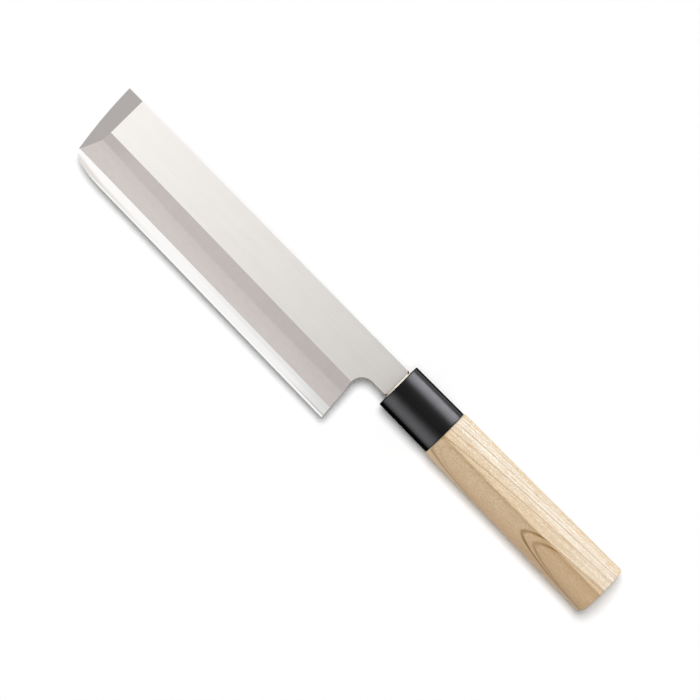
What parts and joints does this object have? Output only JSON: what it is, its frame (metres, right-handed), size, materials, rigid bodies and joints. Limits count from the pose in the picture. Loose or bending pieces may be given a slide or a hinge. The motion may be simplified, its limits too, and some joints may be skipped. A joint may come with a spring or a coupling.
{
  "type": "usuba knife",
  "caption": "Square-ended single-bevel vegetable knife: a clad steel blade with a hollow back, its tang bedded in a D-section wood handle behind a plastic ferrule.",
  "frame": {"origin": "middle of the bounding box on the level of the handle's round back, which the knife lies on", "axes": "+X along the knife to the tip, +Y to the cutting edge, +Z out of the bevelled face"},
  "size_m": [0.31, 0.048, 0.0237],
  "materials": {
    "cladding_steel": "satin flat with a greyer stone-ground bevel",
    "hard_steel": "bright honed strip, satin hollow back",
    "resin": "brown bedding resin",
    "ferrule_plastic": "glossy black",
    "handle_wood": "plain sanded pale wood"
  },
  "bodies": {
    "root": {"blade_body": "cladding_steel", "edge_steel": "hard_steel", "tang_resin": "resin", "ferrule": "ferrule_plastic", "handle": "handle_wood"}
  },
  "joints": []
}
